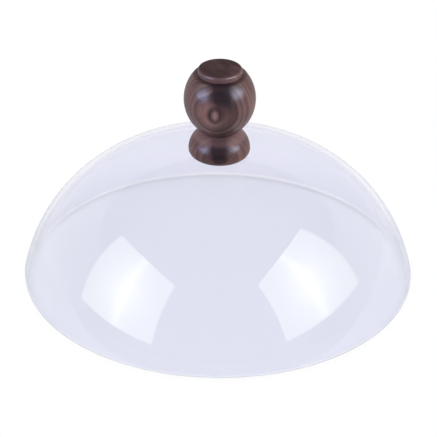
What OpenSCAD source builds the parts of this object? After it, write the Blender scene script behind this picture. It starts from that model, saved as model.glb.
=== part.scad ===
// Clear serving dome with a turned wooden knob, in millimetres, +Z up.
// The origin is the centre of the circle that the rim stands on.
// One screw from inside holds the dome, the foot and the ball together.

/* [Dome] */
// Outside diameter at the rim, before its edges are chamfered
rim_d = 300; // [270:5:330]
// Height of the outside of the dome, from the rim to the crown
dome_h = 102; // [94:1:112]
// Radius of the flatter arc over the crown
crown_r = 210; // [195:5:240]
// Radius of the rounder arc from the shoulder down to the rim
shoulder_r = 124; // [112:1:132]
// Thickness of the clear wall
wall_t = 3; // [2:0.25:4]
// Chamfer on both edges of the rim
rim_ease = 0.6; // [0.3:0.1:0.9]
// Diameter of the hole in the crown
crown_hole_d = 9; // [8:0.25:12]

/* [Knob foot] */
// Largest diameter of the foot
foot_d = 46.5; // [42:0.5:50]
// Diameter of the foot's bottom edge
foot_base_d = 39.2; // [35:0.2:41]
// Height of the foot's widest ring above its bottom edge
foot_belly_h = 5; // [4:0.5:9]
// Height of the foot, from its bottom edge to the neck
foot_h = 20.6; // [18:0.1:25]
// Diameter of the neck, where the ball stands on the foot
neck_d = 26.8; // [24:0.2:32]
// Gap that keeps the wood of the foot off the dome
foot_gap = 0.3; // [0.2:0.1:0.6]

/* [Knob ball] */
// Largest diameter of the ball
ball_d = 53.8; // [48:0.2:58]
// Height of the ball's widest ring above the neck
ball_belly_h = 26; // [22:0.2:28]
// Height of the ball, from the neck to the seat of the cap
ball_h = 46; // [44:0.2:52]
// Diameter of the ball's flat top, the seat of the cap
seat_d = 39.6; // [37:0.2:43]
// Diameter of the tenon under the ball
tenon_d = 18; // [14:0.5:20]
// Length of the tenon under the ball
tenon_l = 7; // [4:0.5:9]
// Depth of the pocket in the top of the ball
pocket_h = 10.8; // [8:0.2:14]

/* [Knob cap] */
// Diameter of the cap
cap_d = 33.2; // [29:0.2:36]
// Height of the cap above its seat
cap_h = 5.4; // [4.2:0.1:8]
// Rounding of the cap's upper edge
cap_round = 1.8; // [1:0.1:3.4]
// Rounding of the cap's lower edge, which leaves a groove over the ball
cap_groove = 0.7; // [0.3:0.1:0.8]
// Diameter of the plug under the cap
plug_d = 20; // [19.6:0.2:23]

/* [Screw and nut] */
// Diameter of the screw's thread
screw_d = 6; // [5:0.5:6]
// Length of screw that stands out above the nut
screw_end_h = 0.95; // [0.5:0.05:2]
// Diameter of the screw's head
head_d = 12; // [10:0.5:14]
// Height of the screw's head
head_h = 2.8; // [2.4:0.1:4]
// Height of the straight edge of the screw's head
head_edge_h = 0.9; // [0.5:0.1:1.2]
// Width of the screwdriver's cross recess
drive_w = 1.1; // [0.8:0.1:1.6]
// Length of the screwdriver's cross recess
drive_l = 5.6; // [4:0.2:7]
// Depth of the screwdriver's cross recess
drive_h = 1.5; // [1:0.1:2]
// Diameter of the nut's flange
flange_d = 19; // [16:0.5:19.4]
// Thickness of the nut's flange
flange_t = 1.5; // [1:0.1:2]
// Diameter of the nut's barrel
barrel_d = 8; // [7.4:0.2:10]
// Length of the nut's barrel below its flange
barrel_l = 9; // [7:0.5:12]
// Number of prongs under the nut's flange
prong_count = 4; // [3:1:4]
// Width of a prong
prong_w = 2.6; // [2:0.2:4]
// Thickness of a prong
prong_t = 1.2; // [0.8:0.1:1.6]
// Length of a prong
prong_l = 6; // [4:0.5:8]

/* [Washers and seals] */
// Diameter of the flat washer
washer_d = 18; // [14:0.5:24]
// Thickness of the flat washer
washer_t = 1.2; // [1:0.1:2]
// Diameter of the split spring washer
spring_washer_d = 11.8; // [10:0.2:13]
// Thickness of the split spring washer
spring_washer_t = 1.4; // [1:0.1:2]
// Width of the split in the spring washer
split_w = 1.3; // [0.5:0.1:2]
// Diameter of the seal inside the dome
inner_seal_d = 20; // [16:0.5:28]
// Thickness of the seal inside the dome, at its edge
inner_seal_t = 1.5; // [1:0.1:3]
// Diameter of the seal under the foot
foot_seal_d = 30; // [24:0.5:33]
// Thickness of the seal under the foot, over the crown
foot_seal_t = 1.5; // [1:0.1:3]

/* [Clearances] */
// Radial gap between the screw and the nut
thread_gap = 0.05; // [0.02:0.01:0.1]
// Gap all round a glued or pressed joint
glue_gap = 0.05; // [0.02:0.01:0.15]
// Radial gap between the screw and a plain hole
hole_gap = 0.3; // [0.2:0.05:0.5]
// Gap between a seal and the curved wall that it lies on
seal_gap = 0.05; // [0.03:0.01:0.1]
// Room between the plug and the end of the screw
plug_end_gap = 1.5; // [1:0.1:2.5]
// Room under the tenon in its socket
tenon_end_gap = 0.3; // [0.2:0.1:0.6]

/* [Hidden] */
$fn = 128;
// Sides of the large arcs over the crown
arc_fn = 512;
// How far a cutting solid runs past the face that it cuts
over = 1;

// Plain radii
rim_r = rim_d / 2;
foot_r = foot_d / 2;
foot_base_r = foot_base_d / 2;
neck_r = neck_d / 2;
ball_r = ball_d / 2;
seat_r = seat_d / 2;
screw_r = screw_d / 2;

// The crown's arc has its centre on the axis. The shoulder's arc runs smoothly out of it and
// ends at the rim, so its centre lies where two circles round those two points cross.
crown_z = dome_h - crown_r;
reach_r = crown_r - shoulder_r;
span = norm([rim_r, crown_z]);
along = (span * span + reach_r * reach_r - shoulder_r * shoulder_r) / (2 * span);
aside = sqrt(reach_r * reach_r - along * along);
shoulder_x = (along * rim_r + aside * crown_z) / span;
shoulder_z = crown_z + (aside * rim_r - along * crown_z) / span;
// Angle from the axis at which the crown's arc turns into the shoulder's
join_angle = atan2(shoulder_x, shoulder_z - crown_z);

// Heights above the rim, from the dome upwards
foot_z = sphere_z(crown_r + foot_gap, foot_base_r);
foot_seal_z = dome_h + foot_seal_t;
neck_z = foot_z + foot_h;
seat_z = neck_z + ball_h;
pocket_z = seat_z - pocket_h;
screw_end_z = pocket_z + flange_t + screw_end_h;
plug_l = seat_z - screw_end_z - plug_end_gap;

// Heights above the rim, from the dome downwards
inner_seal_z = sphere_z(crown_r - wall_t - seal_gap, inner_seal_d / 2) - inner_seal_t;
washer_z = inner_seal_z - washer_t;
head_z = washer_z - spring_washer_t;

// Sizes that follow from a fit
screw_hole_d = screw_d + 2 * hole_gap;
barrel_hole_d = barrel_d + 2 * glue_gap;
seal_neck_d = crown_hole_d - 2 * glue_gap;
// The prongs stand just inside the flange's edge
prong_r = flange_d / 2 - prong_t;
screw_tip_h = screw_d / 10;

// Height at radius r of a sphere round the crown's centre
function sphere_z(sphere_r, r) = crown_z + sqrt(sphere_r * sphere_r - r * r);

// Radius of an arc that leaves the widest ring upright and comes in by depth over a height
function belly_arc(depth, height) = (depth * depth + height * height) / (2 * depth);

// Upright cylinder on the axis, from one height to another
module rod(d, z0, z1) {
    translate([0, 0, z0]) cylinder(d = d, h = z1 - z0);
}

// Half section of a ring between two radii, from one height to another
module ring_half(r0, r1, z0, z1) {
    translate([r0, z0]) square([r1 - r0, z1 - z0]);
}

// Section of a ball round the centre of the crown's arc
module crown_section(r) {
    translate([0, crown_z]) circle(r = r, $fn = arc_fn);
}

// Half section of all that lies under the dome's outside, moved inwards by inset
module dome_half(inset) {
    far = 2 * crown_r;
    turn = [sin(join_angle), cos(join_angle)];
    intersection() {
        square([far, dome_h + over]);
        union() {
            intersection() {
                crown_section(crown_r - inset);
                translate([0, crown_z]) polygon([[0, 0], far * turn, [0, far]]);
            }
            intersection() {
                translate([shoulder_x, shoulder_z]) circle(r = shoulder_r - inset, $fn = arc_fn);
                translate([0, crown_z]) polygon([[0, 0], [far, 0], [far, far], far * turn]);
            }
        }
    }
}

// Corner that is cut off along one edge of the rim
module rim_corner(x) {
    translate([x, 0]) rotate(45) square(rim_ease * sqrt(2), center = true);
}

// Half section that bulges from the end ring to the widest ring, which lies at height 0
module belly_half(wide_r, end_r, height) {
    arc_r = belly_arc(wide_r - end_r, height);
    intersection() {
        square([wide_r, height]);
        union() {
            translate([wide_r - arc_r, 0]) circle(r = arc_r);
            if (arc_r < wide_r) square([wide_r - arc_r, height]);
        }
    }
}

// What is cut off an upper outer corner at [0, 0] to round it
module corner_cut(r) {
    translate([-r, -r]) difference() {
        square(r + over);
        circle(r = r);
    }
}

// Prongs of the nut, or with a gap the slots that they are driven into
module prongs(gap) {
    for (i = [0 : prong_count - 1])
        rotate(i * 360 / prong_count)
            translate([prong_r - prong_t / 2 - gap, -prong_w / 2 - gap, pocket_z - prong_l - gap])
                cube([prong_t + 2 * gap, prong_w + 2 * gap, prong_l + gap]);
}

module dome_shell() {
    inner_rim_r = shoulder_x + sqrt(pow(shoulder_r - wall_t, 2) - shoulder_z * shoulder_z);
    color([0.86, 0.88, 0.95, 0.35]) difference() {
        rotate_extrude() difference() {
            dome_half(0);
            dome_half(wall_t);
            rim_corner(rim_r);
            rim_corner(inner_rim_r);
        }
        rod(crown_hole_d, dome_h - 2 * wall_t, dome_h + over);
    }
}

// Soft ring between the foot and the crown, hollowed to lie on it
module foot_seal() {
    color([0.90, 0.90, 0.88]) rotate_extrude() difference() {
        ring_half(screw_hole_d / 2, foot_seal_d / 2, foot_z, foot_seal_z);
        crown_section(crown_r + seal_gap);
    }
}

// Bun-shaped foot, dished below to follow the crown, with a recess for its seal
module knob_foot() {
    color([0.31, 0.22, 0.19]) difference() {
        rotate_extrude() difference() {
            translate([0, foot_z + foot_belly_h]) union() {
                belly_half(foot_r, neck_r, foot_h - foot_belly_h);
                mirror([0, 1]) belly_half(foot_r, foot_base_r, foot_belly_h);
            }
            crown_section(crown_r + foot_gap);
        }
        rod(foot_seal_d + 2 * hole_gap, foot_z - over, foot_seal_z);
        rod(screw_hole_d, foot_z - over, neck_z + over);
        rod(tenon_d + 2 * glue_gap, neck_z - tenon_l - tenon_end_gap, neck_z + over);
    }
}

// Ball that is bored through for the screw, with a pocket for the nut and the plug
module knob_ball() {
    color([0.27, 0.19, 0.17]) difference() {
        union() {
            translate([0, 0, neck_z + ball_belly_h]) rotate_extrude() union() {
                belly_half(ball_r, seat_r, ball_h - ball_belly_h);
                mirror([0, 1]) belly_half(ball_r, neck_r, ball_belly_h);
            }
            rod(tenon_d, neck_z - tenon_l, neck_z + over);
        }
        rod(barrel_hole_d, neck_z - tenon_l - over, seat_z + over);
        rod(plug_d + 2 * glue_gap, pocket_z, seat_z + over);
        prongs(glue_gap);
    }
}

// Button with rounded edges on a plug that closes the pocket
module knob_cap() {
    cap_r = cap_d / 2;
    color([0.33, 0.24, 0.21]) union() {
        translate([0, 0, seat_z]) rotate_extrude() difference() {
            square([cap_r, cap_h]);
            translate([cap_r, cap_h]) corner_cut(cap_round);
            translate([cap_r, 0]) mirror([0, 1]) corner_cut(cap_groove);
        }
        rod(plug_d, seat_z - plug_l, seat_z + cap_groove);
    }
}

// Nut with a barrel, and a flange whose prongs keep it from turning in the wood
module tee_nut() {
    color([0.74, 0.73, 0.70]) difference() {
        union() {
            rod(flange_d, pocket_z, pocket_z + flange_t);
            rod(barrel_d, pocket_z - barrel_l, pocket_z + flange_t);
            prongs(0);
        }
        rod(screw_d + 2 * thread_gap, pocket_z - barrel_l - over, pocket_z + flange_t + over);
    }
}

// Soft washer inside the dome, whose neck lines the hole in the crown
module inner_seal() {
    hole_r = screw_hole_d / 2;
    color([0.90, 0.90, 0.88]) rotate_extrude() union() {
        intersection() {
            ring_half(hole_r, inner_seal_d / 2, inner_seal_z, dome_h);
            crown_section(crown_r - wall_t - seal_gap);
        }
        ring_half(hole_r, seal_neck_d / 2, inner_seal_z, dome_h - seal_gap);
    }
}

module flat_washer() {
    color([0.76, 0.77, 0.79]) difference() {
        rod(washer_d, washer_z, inner_seal_z);
        rod(screw_hole_d, washer_z - over, inner_seal_z + over);
    }
}

module spring_washer() {
    color([0.70, 0.71, 0.73]) difference() {
        rod(spring_washer_d, head_z, washer_z);
        rod(screw_hole_d, head_z - over, washer_z + over);
        translate([0, -split_w / 2, head_z - over])
            cube([spring_washer_d, split_w, spring_washer_t + 2 * over]);
    }
}

// Screw with a low domed head, its thread drawn at its outside diameter
module clamp_screw() {
    dome_rise = head_h - head_edge_h;
    head_r = head_d / 2;
    dome_r = belly_arc(dome_rise, head_r);
    color([0.76, 0.77, 0.79]) difference() {
        rotate_extrude() union() {
            polygon([[0, head_z - head_edge_h], [screw_r, head_z - head_edge_h],
                     [screw_r, screw_end_z - screw_tip_h],
                     [screw_r - screw_tip_h, screw_end_z], [0, screw_end_z]]);
            intersection() {
                ring_half(0, head_r, head_z - head_h, head_z);
                translate([0, head_z - head_h + dome_r]) circle(r = dome_r);
            }
        }
        for (turn = [0, 90])
            rotate(turn) translate([-drive_l / 2, -drive_w / 2, head_z - head_h - over])
                cube([drive_l, drive_w, drive_h + over]);
    }
}

dome_shell();
foot_seal();
knob_foot();
knob_ball();
knob_cap();
tee_nut();
inner_seal();
flat_washer();
spring_washer();
clamp_screw();
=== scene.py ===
import math

import bpy
import numpy as np
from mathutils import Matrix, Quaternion, Vector


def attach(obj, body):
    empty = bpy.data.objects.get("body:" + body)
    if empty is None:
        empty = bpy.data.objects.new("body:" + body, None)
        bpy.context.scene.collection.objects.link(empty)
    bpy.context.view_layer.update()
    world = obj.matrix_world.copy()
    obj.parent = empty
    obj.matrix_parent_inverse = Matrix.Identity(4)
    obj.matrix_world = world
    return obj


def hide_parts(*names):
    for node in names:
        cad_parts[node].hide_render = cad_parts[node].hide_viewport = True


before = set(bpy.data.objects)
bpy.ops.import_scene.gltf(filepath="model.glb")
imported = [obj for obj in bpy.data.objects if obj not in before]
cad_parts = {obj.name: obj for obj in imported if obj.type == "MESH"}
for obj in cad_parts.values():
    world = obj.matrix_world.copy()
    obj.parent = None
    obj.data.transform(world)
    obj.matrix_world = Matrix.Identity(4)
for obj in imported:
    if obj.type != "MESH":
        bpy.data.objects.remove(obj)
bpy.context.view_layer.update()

mm = 0.001        # pieces are worked out in millimetres, the stage in metres


# shader sockets

class Wire:
    # one shader socket; arithmetic on it adds Math nodes
    def __init__(self, tree, socket=None):
        self.tree = tree
        self.socket = socket

    # any node: its type, its settings (set first), then values or links for its sockets
    def node(self, kind, settings=None, inputs=None, out=0):
        made = self.tree.nodes.new(kind)
        for key, value in (settings or {}).items():
            if key == "stops":
                fillRamp(made.color_ramp, value)
            else:
                setattr(made, key, value)
        for key, value in (inputs or {}).items():
            if isinstance(value, Wire):
                self.tree.links.new(value.socket, made.inputs[key])
            else:
                made.inputs[key].default_value = value
        if isinstance(out, tuple):
            return tuple(Wire(self.tree, made.outputs[key]) for key in out)
        return Wire(self.tree, made.outputs[out]) if len(made.outputs) else None

    def calc(self, operation, first, second=0.0):
        return self.node("ShaderNodeMath", {"operation": operation}, {0: first, 1: second})

    def __add__(self, other):
        return self.calc("ADD", self, other)

    def __sub__(self, other):
        return self.calc("SUBTRACT", self, other)

    def __rsub__(self, other):
        return self.calc("SUBTRACT", other, self)

    def __mul__(self, other):
        return self.calc("MULTIPLY", self, other)

    def __truediv__(self, other):
        return self.calc("DIVIDE", self, other)

    def __rtruediv__(self, other):
        return self.calc("DIVIDE", other, self)

    def __pow__(self, other):
        return self.calc("POWER", self, other)

    __radd__ = __add__
    __rmul__ = __mul__


def fillRamp(ramp, stops):
    while len(ramp.elements) < len(stops):
        ramp.elements.new(1.0)
    for element, (place, colour) in zip(ramp.elements, stops):
        element.position = place
        element.color = (*colour, 1.0)


def newFinish(name):
    material = bpy.data.materials.new(name)
    material.use_nodes = True
    material.node_tree.nodes.clear()
    return material, Wire(material.node_tree)


def setSurface(wire, shader):
    wire.node("ShaderNodeOutputMaterial", {}, {"Surface": shader})


def setPrincipled(wire, inputs):
    setSurface(wire, wire.node("ShaderNodeBsdfPrincipled", {}, inputs))


def splitAxes(wire, vector, axes):
    return wire.node("ShaderNodeSeparateXYZ", {}, {0: vector}, out=axes)


# the piece's own coordinates, in millimetres
def millimetres(wire):
    place = wire.node("ShaderNodeTexCoord", out="Object")
    return wire.node("ShaderNodeVectorMath", {"operation": "SCALE"}, {0: place, "Scale": 1 / mm})


# noise over space, with its own count of waves per millimetre along each axis
def speckle(wire, place, scale, detail=2.0):
    stretched = wire.node("ShaderNodeVectorMath", {"operation": "MULTIPLY"}, {0: place, 1: scale})
    return wire.node("ShaderNodeTexNoise", {"noise_dimensions": "3D"},
                     {"Vector": stretched, "Scale": 1.0, "Detail": detail})


# noise along one value
def streaks(wire, value, detail):
    return wire.node("ShaderNodeTexNoise", {"noise_dimensions": "1D"},
                     {"W": value, "Scale": 1.0, "Detail": detail})


# first * (1 - share) + second * share
def blendColours(wire, share, first, second):
    return wire.node("ShaderNodeMix", {"data_type": "RGBA"}, {0: share, 6: first, 7: second}, out=2)


# value carried in a line from one pair of ends to another and held past them; smooth eases both ends
def mapRange(wire, value, ends, results=(0.0, 1.0), smooth=False):
    return wire.node("ShaderNodeMapRange", {"interpolation_type": "SMOOTHSTEP" if smooth else "LINEAR"}, {
        "Value": value, 1: ends[0], 2: ends[1], 3: results[0], 4: results[1]})


# bell curve exp(-value^2)
def bell(wire, value):
    return wire.calc("EXPONENT", 0 - value ** 2.0)


# distance in the plane from a centre: ((x - a)^2 + (y - b)^2)^0.5
def planeDistance(x, y, centre=(0.0, 0.0)):
    return ((x - centre[0]) ** 2.0 + (y - centre[1]) ** 2.0) ** 0.5


# surfaces

cornerPoints = 7        # points on each eased corner of a profile


# smooth mesh from points in millimetres, tied to its body, with the CAD nodes that it replaces hidden
def makePiece(name, points, faces, body, nodes, material):
    mesh = bpy.data.meshes.new(name)
    mesh.from_pydata((points * mm).tolist(), [], faces)
    mesh.polygons.foreach_set("use_smooth", np.ones(len(mesh.polygons), bool))
    mesh.materials.append(material)
    mesh.update()
    piece = bpy.data.objects.new(name, mesh)
    bpy.context.scene.collection.objects.link(piece)
    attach(piece, body)
    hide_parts(*nodes)
    print("piece:", name, len(mesh.polygons), "faces")


# quads between neighbouring rows and columns of a grid whose columns go all the way round
def gridFaces(rows, columns, rowsClose):
    row, column = np.meshgrid(np.arange(rows if rowsClose else rows - 1), np.arange(columns), indexing="ij")
    nextRow, nextColumn = (row + 1) % rows, (column + 1) % columns
    corners = [row * columns + column, row * columns + nextColumn,
               nextRow * columns + nextColumn, nextRow * columns + column]
    return np.stack(corners, -1).reshape(-1, 4)


# circle points round (centreR, centreZ): r = centreR + radius sin t, z = centreZ + radius cos t,
# with t in degrees
def arc(centreR, centreZ, radius, start, stop, count):
    t = np.radians(np.linspace(start, stop, count))
    return np.stack([centreR + radius * np.sin(t), centreZ + radius * np.cos(t)], 1)


# runs of points and corners joined into one profile; a corner (r, z, size) becomes the curve
# (1-t)^2 A + 2t(1-t) P + t^2 B, where A and B lie size away from the corner P towards its neighbours
def profileOf(*parts):
    ends = [(part[0], part[-1]) if isinstance(part, np.ndarray) else (np.array(part[:2], float),) * 2
            for part in parts]
    t = np.linspace(0, 1, cornerPoints)[:, None]
    runs = []
    for k, part in enumerate(parts):
        if isinstance(part, np.ndarray):
            runs.append(part)
            continue
        corner = ends[k][0]
        back = ends[k - 1][1] - corner
        ahead = ends[(k + 1) % len(parts)][0] - corner
        a = corner + back / np.linalg.norm(back) * part[2]
        b = corner + ahead / np.linalg.norm(ahead) * part[2]
        runs.append((1 - t) ** 2 * a + 2 * t * (1 - t) * corner + t ** 2 * b)
    return np.concatenate(runs)


# ring turned from a closed profile: x = r cos a, y = r sin a, z = z for every profile point and angle a
def turnedRing(profile, sides):
    r, z = profile.T
    if np.sum(r * np.roll(z, -1) - np.roll(r, -1) * z) < 0:      # outside faces outwards
        r, z = r[::-1], z[::-1]
    a = np.arange(sides) * 2 * math.pi / sides
    points = np.stack([np.outer(r, np.cos(a)), np.outer(r, np.sin(a)), np.outer(z, np.ones(sides))], -1)
    return points.reshape(-1, 3), gridFaces(len(r), sides, True).tolist()


# body closed at two poles on the axis: x = r cos a, y = r sin a, with radius and height given for each
# row and angle, from the lower pole up
def turnedBody(radius, height, lowPole, highPole):
    rows, sides = radius.shape
    a = np.arange(sides) * 2 * math.pi / sides
    points = np.stack([radius * np.cos(a), radius * np.sin(a), height], -1).reshape(-1, 3)
    points = np.concatenate([points, [[0, 0, lowPole], [0, 0, highPole]]])
    side = np.arange(sides)
    nextSide = (side + 1) % sides
    last = (rows - 1) * sides
    low = np.stack([np.full(sides, rows * sides), nextSide, side], -1)
    high = np.stack([last + side, last + nextSide, np.full(sides, rows * sides + 1)], -1)
    return points, gridFaces(rows, sides, False).tolist() + low.tolist() + high.tolist()


# camera

view = dict(distance=1.6, elevation=32.49, aim=(0, 0, 0.0436), lens=169.0, sensor=36, roll=0.62)


# place = (0, -cos elevation, sin elevation) * distance, turned to the aim and then rolled
def setCamera():
    lift = math.radians(view["elevation"])
    camera = bpy.data.objects.new("camera", bpy.data.cameras.new("camera"))
    camera.data.lens = view["lens"]
    camera.data.sensor_width = view["sensor"]
    camera.location = Vector((0, -math.cos(lift), math.sin(lift))) * view["distance"]
    camera.rotation_mode = "QUATERNION"
    aimed = (Vector(view["aim"]) - camera.location).to_track_quat("-Z", "Y")
    camera.rotation_quaternion = aimed @ Quaternion((0, 0, 1), math.radians(view["roll"]))
    bpy.context.scene.collection.objects.link(camera)
    bpy.context.scene.camera = camera


setCamera()
print("camera set")


# finishes; lengths in millimetres, but bumpHeight and glowDepth in metres; scales in waves per millimetre

# over the heights rimH the tint and most of the body fade towards the rim, which else shows as a dark line
acrylic = dict(tint=(0.853, 0.856, 0.899, 1), clear=(0.97, 0.97, 0.98, 1), rimH=(0.6, 1.0), rimAlpha=0.2,
               ior=1.49, haze=0.008, wipeScale=(0.03, 0.03, 0.05))


# clear wall with a faint haze from wiping: roughness = haze * noise,
# alpha = 1 - rim share * (1 - rim alpha)
def clearAcrylic():
    material, wire = newFinish("clear_acrylic")
    place = millimetres(wire)
    wipe = speckle(wire, place, acrylic["wipeScale"])
    rim = mapRange(wire, splitAxes(wire, place, "Z"), acrylic["rimH"], (1.0, 0.0))
    setPrincipled(wire, {
        "Base Color": blendColours(wire, rim, acrylic["tint"], acrylic["clear"]),
        "Transmission Weight": 1.0, "IOR": acrylic["ior"],
        "Roughness": wipe * acrylic["haze"], "Alpha": 1 - rim * (1 - acrylic["rimAlpha"])})
    return material


wood = dict(
    stain=(0.021, 0.011, 0.011, 1), pore=(0.012, 0.007, 0.007, 1),
    # shade is the colour of the painted shade band; core is the pale colour of knots and of the painted
    # highlight on edges
    core=(0.180, 0.094, 0.076, 1), shade=(0.007, 0.004, 0.005, 1),
    rings=[(0.0, (0.022, 0.011, 0.009)), (0.16, (0.052, 0.025, 0.018)), (0.50, (0.126, 0.058, 0.041)),
           (0.78, (0.215, 0.103, 0.072)), (0.93, (0.118, 0.055, 0.039)), (1.0, (0.022, 0.011, 0.009))],
    warpScale=(0.06, 0.06, 0.018), patchScale=(0.05, 0.05, 0.03), patchEnds=(0.36, 0.64), detail=1.0,
    yearScale=0.16, yearSpread=2.2, evenHalf=20.0,        # rings are of even width near x = 0
    figureHalf=15.0, figureLeast=0.4,                     # and show most there
    # the painted shade band's sway, gain and matt coat, and how much it holds back the painted highlight
    shadeBandSway=8.0, shadeBandGain=1.3, shadeBandMatt=0.8, shadeBandOverHighlight=0.6,
    fibreScale=(1.3, 1.3, 0.05), fibreDetail=3.0, fibreShare=0.55, fibreRough=0.2,
    poreScale=(2.6, 2.6, 0.16), poreEnds=(0.60, 0.72), poreShare=0.5, poreRough=0.15, poreDepth=0.7,
    bump=0.2, bumpHeight=0.0002, rough=0.42, coatRough=0.27, specular=0.05)


# growth rings round an upright pith line, so a bulge cut through them shows ovals in front and stripes
# at the sides: ring = fraction of (distance / spacing + swirl * noise + uneven years + phase)
def growthRings(wire, x, y, warp, look):
    reach = planeDistance(x, y, look["pith"])
    years = streaks(wire, reach * wood["yearScale"], wood["detail"])
    sides = 1 - wire.calc("EXPONENT", 0 - (x / wood["evenHalf"]) ** 4.0)
    uneven = (years - 0.5) * sides * wood["yearSpread"]
    ring = wire.calc("FRACT", reach / look["spacing"] + warp * look["swirl"] + uneven + look["phase"])
    grain = wire.node("ShaderNodeValToRGB", {"stops": wood["rings"]}, {0: ring})
    middle = bell(wire, x / wood["figureHalf"])
    shown = middle * (1 - wood["figureLeast"]) + wood["figureLeast"]
    return blendColours(wire, shown * look["figure"], look["plain"], grain)


# painted shade, partly dark figure: an upright dark band on the near side, where that side would mirror the
# dark room, depth * exp(-((x - centre + sway) / half)^2), gained and cut at one, where depth, centre and half
# change over the height z
def paintedShadeBand(wire, x, y, z, warp, shadeBand):
    centre, half, depth = (mapRange(wire, z, shadeBand["z"], shadeBand[key]) for key in ("x", "half", "depth"))
    sway = warp * wood["shadeBandSway"] - wood["shadeBandSway"] / 2
    band = bell(wire, (x - centre + sway) / half)
    near = wire.calc("LESS_THAN", y, 0.0)
    return wire.calc("MINIMUM", band * wood["shadeBandGain"], 1.0) * near * depth


# share of painted highlight, paler wood where an edge catches the light, growing from start to stop along the
# height z or the distance r from the axis
def paintedHighlightEdge(wire, x, y, z, paintedHighlight):
    along = z if paintedHighlight["along"] == "z" else planeDistance(x, y)
    return mapRange(wire, along, (paintedHighlight["start"], paintedHighlight["stop"]), (0.0, paintedHighlight["share"]), smooth=True)


# small pale oval with a dark outline on the near side, where the outermost ring comes to the surface;
# off = distance from its middle in its own radii, with the height squeezed
def knotted(wire, x, y, z, knot, colour):
    off = planeDistance(x - knot["x"], (z - knot["z"]) * knot["squeeze"]) / knot["radius"]
    near = wire.calc("LESS_THAN", y, 0.0)
    outline = bell(wire, (off - knot["outlineAt"]) / knot["outlineHalf"])
    pale = mapRange(wire, off, knot["paleEnds"], (knot["paleShare"], 0.0), smooth=True)
    ringed = blendColours(wire, outline * near * knot["outlineShare"], colour, wood["stain"])
    return blendColours(wire, pale * near, ringed, wood["core"])


# stained turned wood: rings, then patches of stain, a painted shade band, painted highlights on edges, a
# knot, fibre and pores, each laid over the one before
def darkWood(name, look):
    material, wire = newFinish(name)
    bare = millimetres(wire)
    x, y, z = splitAxes(wire, bare, ("X", "Y", "Z"))
    place = wire.node("ShaderNodeVectorMath", {"operation": "ADD"}, {0: bare, 1: look["shift"]})
    warp = speckle(wire, place, wood["warpScale"], wood["detail"])
    patch = speckle(wire, place, wood["patchScale"], wood["detail"])
    patched = mapRange(wire, patch, wood["patchEnds"], (0.0, look["stain"]))
    colour = blendColours(wire, patched, growthRings(wire, x, y, warp, look), wood["stain"])
    dark, gloss = 0.0, 1.0
    # painted shade: a dark band on the near side, with less coat in it
    if "shadeBand" in look:
        dark = paintedShadeBand(wire, x, y, z, warp, look["shadeBand"])
        gloss = 1 - dark * wood["shadeBandMatt"]
        colour = blendColours(wire, dark, colour, wood["shade"])
    # painted highlight: paler wood on an edge, held back inside the painted shade band
    if "paintedHighlight" in look:
        paintedHighlight = paintedHighlightEdge(wire, x, y, z, look["paintedHighlight"])
        colour = blendColours(wire, paintedHighlight * (1 - dark * wood["shadeBandOverHighlight"]), colour, wood["core"])
        gloss = paintedHighlight / look["paintedHighlight"]["share"] if look["paintedHighlight"]["glossy"] else gloss
    if "knot" in look:
        colour = knotted(wire, x, y, z, look["knot"], colour)
    fibre = speckle(wire, place, wood["fibreScale"], wood["fibreDetail"])
    pores = mapRange(wire, speckle(wire, place, wood["poreScale"], wood["detail"]), wood["poreEnds"])
    colour = blendColours(wire, (1 - fibre) * wood["fibreShare"], colour, wood["stain"])
    colour = blendColours(wire, pores * wood["poreShare"], colour, wood["pore"])
    bump = wire.node("ShaderNodeBump", {}, {
        "Strength": wood["bump"], "Distance": wood["bumpHeight"],
        "Height": fibre - pores * wood["poreDepth"]})
    setPrincipled(wire, {
        "Base Color": colour, "Specular IOR Level": wood["specular"], "Normal": bump,
        "Roughness": wood["rough"] + fibre * wood["fibreRough"] + pores * wood["poreRough"],
        "Coat Weight": gloss * look["coat"], "Coat Roughness": wood["coatRough"]})
    return material


steel = dict(stainless=(0.62, 0.62, 0.64, 1), stainlessRough=0.2, zinc=(0.60, 0.60, 0.57, 1), zincRough=0.3,
             dullest=0.82, cloudScale=(0.5, 0.5, 0.5),
             turnScale=6.0, feedScale=2.0, turnDetail=2.0, turnRough=0.18)


# metal with turning marks: roughness = base + depth * noise of (turn scale * distance from the axis
# + feed scale * height)
def steelFinish(name, colour, rough):
    material, wire = newFinish(name)
    place = millimetres(wire)
    x, y, z = splitAxes(wire, place, ("X", "Y", "Z"))
    turns = planeDistance(x, y) * steel["turnScale"] + z * steel["feedScale"]
    marks = streaks(wire, turns, steel["turnDetail"])
    dull = tuple(steel["dullest"] * c for c in colour[:3]) + (1,)
    setPrincipled(wire, {
        "Base Color": blendColours(wire, speckle(wire, place, steel["cloudScale"]), colour, dull),
        "Metallic": 1.0, "Roughness": rough + marks * steel["turnRough"]})
    return material


rubber = dict(pale=(0.80, 0.80, 0.78, 1), dull=(0.70, 0.71, 0.70, 1), cloudScale=(0.4, 0.4, 0.4),
              cloudDetail=3.0, rough=0.42, cloudRough=0.2, glow=0.15, glowDepth=(0.002, 0.002, 0.002))


# cloudy soft washer: colour and roughness follow one noise
def siliconeFinish():
    material, wire = newFinish("silicone")
    cloud = speckle(wire, millimetres(wire), rubber["cloudScale"], rubber["cloudDetail"])
    setPrincipled(wire, {
        "Base Color": blendColours(wire, cloud, rubber["pale"], rubber["dull"]),
        "Roughness": rubber["rough"] + cloud * rubber["cloudRough"],
        "Subsurface Weight": rubber["glow"], "Subsurface Radius": rubber["glowDepth"]})
    return material


silicone = siliconeFinish()
stainless = steelFinish("stainless_steel", steel["stainless"], steel["stainlessRough"])
zinc = steelFinish("zinc_plated_steel", steel["zinc"], steel["zincRough"])
print("finishes made")


# dome

dome = dict(rimR=150.0, height=102.0, crownR=210.0, shoulderR=124.0, wall=3.0, holeR=4.5,
            rimEase=0.85, rimRun=1.2, holeEase=0.3, holeRun=0.6,        # an arc stops short by its run
            crownRows=36, shoulderRows=64, sides=192)

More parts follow.
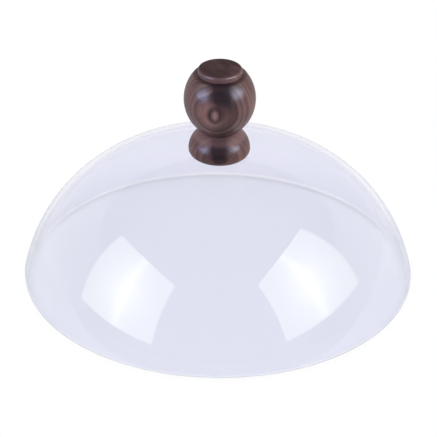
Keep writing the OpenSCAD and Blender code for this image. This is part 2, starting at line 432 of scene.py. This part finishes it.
# the shoulder's arc leaves the crown's arc smoothly and ends at the rim, so its centre lies reachR from the
# crown's centre and shoulderR from the rim: where those two circles meet
crownZ = dome["height"] - dome["crownR"]
reachR = dome["crownR"] - dome["shoulderR"]
span = math.hypot(dome["rimR"], crownZ)
along = (span ** 2 + reachR ** 2 - dome["shoulderR"] ** 2) / (2 * span)
aside = math.sqrt(reachR ** 2 - along ** 2)
shoulderX = (along * dome["rimR"] + aside * crownZ) / span
shoulderZ = crownZ + (aside * dome["rimR"] - along * crownZ) / span
joinAngle = math.degrees(math.atan2(shoulderX, shoulderZ - crownZ))


# height of a ball of the given radius round the crown's centre, at radius r
def crownHeight(ballR, r):
    return crownZ + math.sqrt(ballR ** 2 - r ** 2)


# arc over that ball between two radii
def crownArc(ballR, startR, stopR, count):
    start, stop = (math.degrees(math.asin(r / ballR)) for r in (startR, stopR))
    return arc(0, crownZ, ballR, start, stop, count)


# one face of the wall from the hole to just above the rim: the crown's arc, then the shoulder's
def domeWall(inset):
    crownR, shoulderR = dome["crownR"] - inset, dome["shoulderR"] - inset
    first = math.degrees(math.asin((dome["holeR"] + dome["holeRun"]) / crownR))
    last = math.degrees(math.acos((dome["rimRun"] - shoulderZ) / shoulderR))
    crown = arc(0, crownZ, crownR, first, joinAngle, dome["crownRows"])
    shoulder = arc(shoulderX, shoulderZ, shoulderR, joinAngle, last, dome["shoulderRows"])
    return np.concatenate([crown, shoulder[1:]])


# outer face, rim, inner face and the hole's edge as one closed profile, turned
def buildDome():
    innerCrownR, innerShoulderR = dome["crownR"] - dome["wall"], dome["shoulderR"] - dome["wall"]
    innerRimR = shoulderX + math.sqrt(innerShoulderR ** 2 - shoulderZ ** 2)
    holeR, holeEase = dome["holeR"], dome["holeEase"]
    profile = profileOf(
        domeWall(0), (dome["rimR"], 0, dome["rimEase"]),
        (innerRimR, 0, dome["rimEase"]), domeWall(dome["wall"])[::-1],
        (holeR, crownHeight(innerCrownR, holeR), holeEase),
        (holeR, crownHeight(dome["crownR"], holeR), holeEase))
    points, faces = turnedRing(profile, dome["sides"])
    makePiece("dome", points, faces, "cover", ["dome_shell"], clearAcrylic())


buildDome()


# knob; the pith, shift and knot values place each piece's grain in the dome's frame, and the dark band and
# pale edge values place its painted shade and painted highlight

foot = dict(
    gap=0.3, baseR=19.6, bellyR=23.25, bellyH=5.0, height=20.6, neckR=13.4, boreR=3.3,
    sealR=15.3, sealRise=1.5, socketR=9.05, socketD=7.3,
    baseRun=0.5, baseEase=0.4, neckRun=0.8, neckEase=0.7, ease=0.3, lowRows=16, highRows=32, sides=128,
    look=dict(
        pith=(-12.0, 120.0), spacing=4.2, swirl=1.2, phase=0.1, shift=(11.0, 4.0, 63.0),
        plain=(0.115, 0.050, 0.036, 1), figure=0.7, stain=0.4, coat=0.4,
        # painted shade band on the near side
        shadeBand=dict(z=(103.5, 109.0), x=(0.8, 0.8), half=(9.0, 8.0), depth=(0.3, 0.95)),
        # painted highlight at the top of the neck flare
        paintedHighlight=dict(along="z", start=115.0, stop=119.0, share=0.7, glossy=False)))
ball = dict(
    bellyR=26.9, bellyH=26.0, height=46.0, seatR=19.8, boreR=4.05, tenonR=9.0, tenonL=7.0,
    pocketR=10.05, pocketD=10.8,
    seatRun=0.6, seatEase=0.5, tenonEase=0.4, shoulderEase=0.2, ease=0.3,
    lowRows=40, highRows=34, sides=160,
    look=dict(
        pith=(18.0, 146.0), spacing=3.8, swirl=1.2, phase=-0.2, shift=(0.0, 0.0, 0.0),
        plain=(0.110, 0.049, 0.035, 1), figure=0.9, stain=0.45, coat=0.5,
        # painted shade band on the near side
        shadeBand=dict(z=(146.0, 158.0), x=(5.0, 1.4), half=(6.8, 11.0), depth=(0.5, 0.95)),
        knot=dict(x=-3.5, z=147.2, radius=3.1, squeeze=0.68, paleEnds=(0.35, 1.2), paleShare=0.85,
                  outlineAt=1.3, outlineHalf=0.35, outlineShare=0.6)))
cap = dict(
    radius=16.6, height=5.4, edge=1.8, lower=0.7, crown=0.3, plugR=10.0, plugL=6.85,
    poleR=0.8, flatR=5.0, plugEase=0.5, seatEase=0.15, rows=16, sides=128,
    look=dict(
        pith=(70.0, 44.0), spacing=9.0, swirl=1.0, phase=0.2, shift=(3.0, 27.0, 140.0),
        plain=(0.080, 0.038, 0.030, 1), figure=0.25, stain=0.7, coat=0.6,
        # painted highlight on the edge's crest, where the coat also is
        paintedHighlight=dict(along="r", start=14.9, stop=16.2, share=0.28, glossy=True)))

footZ = crownHeight(dome["crownR"] + foot["gap"], foot["baseR"])
sealTop = dome["height"] + foot["sealRise"]
neckZ = footZ + foot["height"]
seatZ = neckZ + ball["height"]
pocketZ = seatZ - ball["pocketD"]


# radius of an arc that leaves the widest ring upright and comes in by depth over a height
def bellyArc(depth, height):
    return (depth ** 2 + height ** 2) / (2 * depth)


# side of a turning: one arc up to the widest ring and one on from it, between a low and a high end,
# each (radius, run), stopping short of both ends by the run
def bellySide(piece, bottomZ, low, high):
    bellyR, drop, rise = piece["bellyR"], piece["bellyH"], piece["height"] - piece["bellyH"]
    bellyZ = bottomZ + drop
    lowerR, upperR = bellyArc(bellyR - low[0], drop), bellyArc(bellyR - high[0], rise)
    first = math.degrees(math.acos((-drop + low[1]) / lowerR))
    last = math.degrees(math.acos((rise - high[1]) / upperR))
    lower = arc(bellyR - lowerR, bellyZ, lowerR, first, 90, piece["lowRows"])
    upper = arc(bellyR - upperR, bellyZ, upperR, 90, last, piece["highRows"])
    return np.concatenate([lower, upper[1:]])


# the foot's side, neck, socket, bore, seal recess and hollow underside as one closed profile, turned
def buildFoot():
    ease, socketZ = foot["ease"], neckZ - foot["socketD"]
    recessZ = crownHeight(dome["crownR"] + foot["gap"], foot["sealR"])
    side = bellySide(foot, footZ, (foot["baseR"], foot["baseRun"]), (foot["neckR"], foot["neckRun"]))
    profile = profileOf(
        side, (foot["neckR"], neckZ, foot["neckEase"]),
        (foot["socketR"], neckZ, ease), (foot["socketR"], socketZ, ease),
        (foot["boreR"], socketZ, ease), (foot["boreR"], sealTop, ease),
        (foot["sealR"], sealTop, ease), (foot["sealR"], recessZ, ease),
        (foot["baseR"], footZ, foot["baseEase"]))
    points, faces = turnedRing(profile, foot["sides"])
    finish = darkWood("dark_wood_foot", foot["look"])
    makePiece("knob_foot_turned", points, faces, "knob", ["knob_foot"], finish)


# the ball's side, seat, pocket, bore and tenon as one closed profile, turned
def buildBall():
    ease, tenonZ = ball["ease"], neckZ - ball["tenonL"]
    side = bellySide(ball, neckZ, (foot["neckR"], foot["neckRun"]), (ball["seatR"], ball["seatRun"]))
    profile = profileOf(
        side, (ball["seatR"], seatZ, ball["seatEase"]),
        (ball["pocketR"], seatZ, ease), (ball["pocketR"], pocketZ, ease),
        (ball["boreR"], pocketZ, ease), (ball["boreR"], tenonZ, ease),
        (ball["tenonR"], tenonZ, ball["tenonEase"]), (ball["tenonR"], neckZ, ball["shoulderEase"]),
        (foot["neckR"], neckZ, foot["neckEase"]))
    points, faces = turnedRing(profile, ball["sides"])
    finish = darkWood("dark_wood_ball", ball["look"])
    makePiece("knob_ball_turned", points, faces, "knob", ["knob_ball"], finish)


# plug, underside, rounded edge and a top with z = top - crown * (r / flat radius)^2
def buildCap():
    top = seatZ + cap["height"]
    flatR = cap["radius"] - cap["edge"]
    edgeZ = top - cap["crown"] - cap["edge"]
    plugZ = seatZ - cap["plugL"]
    r = np.linspace(flatR, cap["poleR"], cap["rows"])
    crowned = np.stack([r, top - cap["crown"] * (r / flatR) ** 2], 1)
    profile = profileOf(
        np.array([[cap["poleR"], plugZ], [cap["flatR"], plugZ]]), (cap["plugR"], plugZ, cap["plugEase"]),
        (cap["plugR"], seatZ, cap["seatEase"]), (cap["radius"], seatZ, cap["lower"]),
        arc(flatR, edgeZ, cap["edge"], 90, 0, cap["rows"]), crowned[1:])
    radius, height = (np.repeat(column[:, None], cap["sides"], 1) for column in profile.T)
    points, faces = turnedBody(radius, height, plugZ, top)
    finish = darkWood("dark_wood_cap", cap["look"])
    makePiece("knob_cap_turned", points, faces, "knob", ["knob_cap"], finish)


buildFoot()
buildBall()
buildCap()
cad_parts["tee_nut"].data.materials.clear()
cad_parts["tee_nut"].data.materials.append(zinc)


# seals and washers

footSeal = dict(holeR=3.3, outerR=15.0, gap=0.05, holeRun=0.4, outerRun=0.5, holeEase=0.2, ease=0.3,
                rows=12, sides=96)
innerSeal = dict(holeR=3.3, outerR=10.0, thick=1.5, neckR=4.45, gap=0.05, outerRun=0.4, neckRun=0.3,
                 holeEase=0.2, neckEase=0.1, ease=0.3, rows=10, sides=96)
flatWasher = dict(holeR=3.3, outerR=9.0, thick=1.2, ease=0.2, sides=96)
springWasher = dict(holeR=3.3, outerR=5.9, thick=1.4, split=1.3, ease=0.2, sides=96)

innerBall = dome["crownR"] - dome["wall"] - innerSeal["gap"]
innerSealZ = crownHeight(innerBall, innerSeal["outerR"]) - innerSeal["thick"]
washerZ = innerSealZ - flatWasher["thick"]
headZ = washerZ - springWasher["thick"]


# rounded rectangle of a flat washer, between its two radii and two heights
def washerProfile(washer, low, high):
    holeR, outerR, ease = washer["holeR"], washer["outerR"], washer["ease"]
    return profileOf((holeR, low, ease), (outerR, low, ease), (outerR, high, ease), (holeR, high, ease))


# ring with a gap: the rounded rectangle carried along an arc that stops short of the gap, with its two
# ends closed flat
def splitRing(profile, gapAngle, sides):
    r, z = profile.T
    a = np.linspace(gapAngle / 2, 2 * math.pi - gapAngle / 2, sides)
    points = np.stack([np.outer(np.cos(a), r), np.outer(np.sin(a), r), np.outer(np.ones(sides), z)], -1)
    count = len(r)
    faces = gridFaces(sides, count, False)[:, ::-1].tolist()
    faces.append(list(range(count)))
    faces.append(list(range(sides * count - 1, (sides - 1) * count - 1, -1)))
    return points.reshape(-1, 3), faces


# flat on top, and hollow below to the crown's curve
def buildFootSeal():
    footBall = dome["crownR"] + footSeal["gap"]
    holeR, outerR, ease = footSeal["holeR"], footSeal["outerR"], footSeal["ease"]
    startR, stopR = holeR + footSeal["holeRun"], outerR - footSeal["outerRun"]
    profile = profileOf(
        (holeR, crownHeight(footBall, holeR), footSeal["holeEase"]),
        crownArc(footBall, startR, stopR, footSeal["rows"]),
        (outerR, crownHeight(footBall, outerR), ease), (outerR, sealTop, ease), (holeR, sealTop, ease))
    points, faces = turnedRing(profile, footSeal["sides"])
    makePiece("foot_seal_ring", points, faces, "seal", ["foot_seal"], silicone)


# flat below, domed above to the inside of the crown, with a neck that lines the hole
def buildInnerSeal():
    holeR, outerR, neckR = innerSeal["holeR"], innerSeal["outerR"], innerSeal["neckR"]
    holeEase, ease, neckTop = innerSeal["holeEase"], innerSeal["ease"], dome["height"] - innerSeal["gap"]
    startR, stopR = outerR - innerSeal["outerRun"], neckR + innerSeal["neckRun"]
    profile = profileOf(
        (holeR, innerSealZ, holeEase), (outerR, innerSealZ, ease),
        (outerR, crownHeight(innerBall, outerR), ease), crownArc(innerBall, startR, stopR, innerSeal["rows"]),
        (neckR, crownHeight(innerBall, neckR), innerSeal["neckEase"]),
        (neckR, neckTop, holeEase), (holeR, neckTop, holeEase))
    points, faces = turnedRing(profile, innerSeal["sides"])
    makePiece("inner_seal_ring", points, faces, "cover", ["inner_seal"], silicone)


# a turned rounded rectangle, and one that stops short of its split
def buildWashers():
    points, faces = turnedRing(washerProfile(flatWasher, washerZ, innerSealZ), flatWasher["sides"])
    makePiece("flat_washer_ring", points, faces, "cover", ["flat_washer"], stainless)
    profile = washerProfile(springWasher, headZ, washerZ)
    gapAngle = springWasher["split"] / springWasher["outerR"]
    points, faces = splitRing(profile, gapAngle, springWasher["sides"])
    makePiece("spring_washer_split", points, faces, "cover", ["spring_washer"], stainless)


buildFootSeal()
buildInnerSeal()
buildWashers()


# clamp screw

screw = dict(
    radius=3.0, pitch=1.0, depth=0.5, tip=0.6, tipR=0.5, endAbove=0.95, flange=1.5,
    threadFrom=0.4, runIn=1.5, runOut=1.0, headR=6.0, headH=2.8, edgeH=0.9,
    poleR=0.06, edgeRun=0.25, topEase=0.2, sideEase=0.15, neckEase=0.1,
    slotW=1.1, slotL=5.6, slotD=1.5, slotEase=0.18, headRows=56, rowsPerMm=8, sides=72)


# 3 t^2 - 2 t^3, with t held between 0 and 1
def smoothStep(value):
    t = np.clip(value, 0, 1)
    return t * t * (3 - 2 * t)


# one in the cross recess and zero outside it, over radius and angle: the larger of two arms, each the
# product of a smooth step across its width and one along its length
def slotMask(radius, a):
    x, y = np.abs(np.outer(radius, np.cos(a))), np.abs(np.outer(radius, np.sin(a)))

    def inside(size, place):
        return smoothStep((size / 2 - place) / screw["slotEase"] + 0.5)
    return np.maximum(inside(screw["slotW"], y) * inside(screw["slotL"], x),
                      inside(screw["slotW"], x) * inside(screw["slotL"], y))


# from the head's lowest point up to the tip. Head: z = a ball's height, lifted to the recess's floor by the
# cross mask. Shank: r = radius - depth * fade * triangle wave of (z / pitch - angle / full turn), which is
# a one-start right-hand thread that fades at both ends
def buildScrew():
    endZ = pocketZ + screw["flange"] + screw["endAbove"]
    tipZ = endZ - screw["tip"]
    threadZ = headZ + screw["threadFrom"]
    lowZ = headZ - screw["headH"]
    slotZ = lowZ + screw["slotD"]
    domeR = bellyArc(screw["headH"] - screw["edgeH"], screw["headR"])
    a = np.arange(screw["sides"]) * 2 * math.pi / screw["sides"]

    def allRound(column):
        return np.outer(column, np.ones(screw["sides"]))

    faceR = np.linspace(screw["poleR"], screw["headR"] - screw["edgeRun"], screw["headRows"])
    faceZ = lowZ + domeR - np.sqrt(domeR ** 2 - faceR ** 2)
    cutZ = allRound(faceZ) + np.maximum(slotZ - allRound(faceZ), 0) * slotMask(faceR, a)
    edge = profileOf(
        np.array([[faceR[-1], faceZ[-1]]]), (screw["headR"], headZ - screw["edgeH"], screw["topEase"]),
        (screw["headR"], headZ, screw["sideEase"]), (screw["radius"], headZ, screw["neckEase"]))[1:]
    shank = np.arange(threadZ, tipZ, 1 / screw["rowsPerMm"])
    tooth = np.abs(np.mod(shank[:, None] / screw["pitch"] - a / (2 * math.pi), 1) * 2 - 1)
    fade = smoothStep((shank - threadZ) / screw["runIn"]) * smoothStep((tipZ - shank) / screw["runOut"])
    shankR = screw["radius"] - screw["depth"] * (1 - tooth) * fade[:, None]
    tip = np.array([[screw["radius"], tipZ], [screw["radius"] - screw["tip"], endZ], [screw["tipR"], endZ]])
    radius = np.concatenate([allRound(faceR), allRound(edge[:, 0]), shankR, allRound(tip[:, 0])])
    height = np.concatenate([cutZ, allRound(edge[:, 1]), allRound(shank), allRound(tip[:, 1])])
    points, faces = turnedBody(radius, height, slotZ, endZ)
    makePiece("clamp_screw_threaded", points, faces, "cover", ["clamp_screw"], stainless)


buildScrew()


# floor and studio light, in metres

# flat patch between four corners: p = (1-u)(1-v) A + u(1-v) B + u v C + (1-u) v D, with u and v as its
# UV map
def stagePatch(name, corners, steps, material):
    u, v = np.meshgrid(np.linspace(0, 1, steps + 1), np.linspace(0, 1, steps + 1), indexing="ij")
    a, b, c, d = (np.array(corner, float) for corner in corners)
    u, v = u.reshape(-1, 1), v.reshape(-1, 1)
    points = (1 - u) * (1 - v) * a + u * (1 - v) * b + u * v * c + (1 - u) * v * d
    k = (np.arange(steps)[:, None] * (steps + 1) + np.arange(steps)).reshape(-1)
    faces = np.stack([k, k + steps + 1, k + steps + 2, k + 1], -1)
    mesh = bpy.data.meshes.new(name)
    mesh.from_pydata(points.tolist(), [], faces.tolist())
    layer = mesh.uv_layers.new(name="UVMap")
    layer.data.foreach_set("uv", np.hstack([u, v])[faces.reshape(-1)].reshape(-1))
    mesh.materials.append(material)
    panel = bpy.data.objects.new(name, mesh)
    bpy.context.scene.collection.objects.link(panel)
    return panel


# how many faces of the clear wall a ray has passed when the outer face mirrors it, and at most when
# either face does
outerFace, bothFaces = 0, 2


# one where a ray has been mirrored, has met no matt surface and has passed no more than so many faces of
# the clear wall, else zero; the counts are whole numbers, so each is compared halfway between two of them
def mirroredBy(wire, faces):
    glossy, diffuse, passed = wire.node("ShaderNodeLightPath", out=(
        "Glossy Depth", "Diffuse Depth", "Transmission Depth"))
    bounced = wire.calc("GREATER_THAN", glossy, 0.5) * wire.calc("LESS_THAN", diffuse, 0.5)
    return bounced * wire.calc("LESS_THAN", passed, faces + 0.5)


softbox = dict(
    colour=(0.92, 0.96, 1.05, 1), mirrorColour=(0.97, 1.00, 0.78, 1), edge=1.8, middle=1.6,
    middleHalf=(0.26, 0.40), stripe=0.9, stripeHalf=0.06, steps=16,
    panels=dict(
        leftBox=((-1.043, 0.214, 1.102), (-0.562, -0.855, 1.111),
                 (-0.948, -1.335, 0.194), (-1.453, -0.158, 0.221)),
        rightBox=((0.868, 0.290, 1.235), (0.528, -0.838, 1.141),
                  (1.029, -1.323, 0.261), (1.481, 0.081, 0.339))))


# glow over a panel's UV: edge + middle * exp(-(side / half)^2 - (drop / half)^2)
# + stripe * exp(-(side / half)^2), each with its own half
def softboxGlow():
    material, wire = newFinish("softbox_glow")
    across, down = splitAxes(wire, wire.node("ShaderNodeTexCoord", out="UV"), ("X", "Y"))
    side, drop = across - 0.5, down - 0.5        # from the panel's middle
    middle = bell(wire, side / softbox["middleHalf"][0]) * bell(wire, drop / softbox["middleHalf"][1])
    stripe = bell(wire, side / softbox["stripeHalf"])
    glow = softbox["edge"] + middle * softbox["middle"] + stripe * softbox["stripe"]
    colour = blendColours(wire, mirroredBy(wire, bothFaces), softbox["colour"], softbox["mirrorColour"])
    setSurface(wire, wire.node("ShaderNodeEmission", {}, {"Color": colour, "Strength": glow}))
    return material


accent = dict(side=0.9, aim=(0, 0, 0.14), power=dict(leftBox=21.0, rightBox=41.0),
              colour=dict(leftBox=(0.85, 1.06, 2.05), rightBox=(0.82, 0.93, 1.30)),
              pieces=("knob_foot_turned", "knob_ball_turned", "knob_cap_turned"))


# a lamp at the middle of a softbox, aimed at the knob, that lights the receivers alone
def accentLamp(name, receivers):
    data = bpy.data.lights.new(name + "Accent", "AREA")
    data.shape = "SQUARE"
    data.size = accent["side"]
    data.energy = accent["power"][name]
    data.color = accent["colour"][name]
    lamp = bpy.data.objects.new(name + "Accent", data)
    lamp.location = Vector(np.mean(softbox["panels"][name], 0))
    lamp.rotation_euler = (Vector(accent["aim"]) - lamp.location).to_track_quat("-Z", "Y").to_euler()
    lamp.light_linking.receiver_collection = receivers
    bpy.context.scene.collection.objects.link(lamp)


# farY and backdropZ are parts of a ray's direction
room = dict(tent=(0.87, 0.87, 0.87, 1), dim=(0.10, 0.105, 0.13, 1),
            farY=(-0.5, 0.4), backdropZ=(0.530, 0.575),
            backdropLow=(0.84, 0.85, 0.89, 1), backdropTop=(0.45, 0.455, 0.48, 1))


# an even tent of light, but in what the near wall's two faces mirror it is a dim room, with a backdrop low
# on the far side that is palest at the floor
def studioWorld():
    world = bpy.data.worlds.new("studio")
    world.use_nodes = True
    world.node_tree.nodes.clear()
    wire = Wire(world.node_tree)
    depth, lift = splitAxes(wire, wire.node("ShaderNodeTexCoord", out="Generated"), ("Y", "Z"))
    far = mapRange(wire, depth, room["farY"], smooth=True)
    below = mapRange(wire, lift, room["backdropZ"], (1.0, 0.0), smooth=True)
    climb = mapRange(wire, lift, (0.0, room["backdropZ"][0]))
    backdrop = blendColours(wire, climb, room["backdropLow"], room["backdropTop"])
    around = blendColours(wire, far * below, room["dim"], backdrop)
    colour = blendColours(wire, mirroredBy(wire, bothFaces), room["tent"], around)
    shade = wire.node("ShaderNodeBackground", {}, {"Color": colour})
    wire.node("ShaderNodeOutputWorld", {}, {"Surface": shade})
    bpy.context.scene.world = world


floor = dict(
    z=-0.003, half=6.0, steps=1, colour=(0.94, 0.94, 0.94, 1), white=0.94, even=0.55,
    sides=(0.875, 0.885, 0.985, 1), middle=(0.965, 0.975, 1.08, 1), behind=(1.36, 1.33, 1.43, 1),
    middleX=(0.06, 0.12), middleShare=0.85, backY=(-0.08, 0.06), backSlope=0.6, farY=(0.06, 0.20),
    mirrorNear=(0.62, 0.63, 0.72, 1), mirrorFar=(0.64, 0.64, 0.71, 1),
    before=(0.22, 0.225, 0.26, 1), beforeY=(-0.150, -0.165))


# matt floor that looks nearly white to the camera. Through the clear wall it glows with painted shade and
# light, a little darker at the sides of the dome and paler behind it; the outer face mirrors it as a painted
# darker reflection, and before the rim both faces mirror it as a painted dim reflection
def floorFinish():
    material, wire = newFinish("studio_floor")
    x, y = splitAxes(wire, wire.node("ShaderNodeTexCoord", out="Object"), ("X", "Y"))
    offX = wire.calc("ABSOLUTE", x)
    far = mapRange(wire, y, floor["farY"])
    dim = mapRange(wire, y, floor["beforeY"]) * mirroredBy(wire, bothFaces)
    # painted reflection: the floor's colours where the clear wall mirrors it
    around = blendColours(wire, far, floor["mirrorNear"], floor["mirrorFar"])
    seen = blendColours(wire, mirroredBy(wire, outerFace), floor["colour"], around)
    matt = wire.node("ShaderNodeBsdfDiffuse", {}, {"Color": blendColours(wire, dim, seen, floor["before"])})
    back = mapRange(wire, y - offX * floor["backSlope"], floor["backY"])
    middle = mapRange(wire, offX, floor["middleX"], (floor["middleShare"], 0.0))
    inside = blendColours(wire, wire.calc("MAXIMUM", back, middle), floor["sides"], floor["middle"])
    inside = blendColours(wire, dim, inside, floor["before"])
    beyond = wire.calc("GREATER_THAN", planeDistance(x, y), dome["rimR"] * mm)
    # painted shade and light: the floor's glow as seen through the clear wall
    under = wire.node("ShaderNodeEmission", {}, {
        "Color": blendColours(wire, far * beyond, inside, floor["behind"])})
    white = wire.node("ShaderNodeEmission")
    straight, through = wire.node("ShaderNodeLightPath", out=("Is Camera Ray", "Is Transmission Ray"))
    evened = wire.node("ShaderNodeMixShader", {}, {0: through * floor["even"], 1: matt, 2: under})
    shown = wire.node("ShaderNodeMixShader", {}, {0: straight * floor["white"], 1: evened, 2: white})
    setSurface(wire, shown)
    return material


light = dict(bounces=20, mirrorBounces=12, throughBounces=16, clearBounces=12)


# floor, softboxes, lamps and surroundings, and how far light is followed
def buildStudio():
    h, z = floor["half"], floor["z"]
    corners = [(-h, -h, z), (h, -h, z), (h, h, z), (-h, h, z)]
    stagePatch("studio_floor", corners, floor["steps"], floorFinish())
    turned = bpy.data.collections.new("turned_wood")
    for name in accent["pieces"]:
        turned.objects.link(bpy.data.objects[name])
    glow = softboxGlow()
    for name, corners in softbox["panels"].items():
        panel = stagePatch(name, corners, softbox["steps"], glow)
        panel.visible_camera = False
        accentLamp(name, turned)
    studioWorld()
    scene = bpy.context.scene
    scene.view_settings.view_transform = "Standard"
    scene.cycles.use_denoising = True
    scene.cycles.blur_glossy = 0.0
    scene.cycles.max_bounces = light["bounces"]
    scene.cycles.glossy_bounces = light["mirrorBounces"]
    scene.cycles.transmission_bounces = light["throughBounces"]
    scene.cycles.transparent_max_bounces = light["clearBounces"]


buildStudio()
print("studio lit")
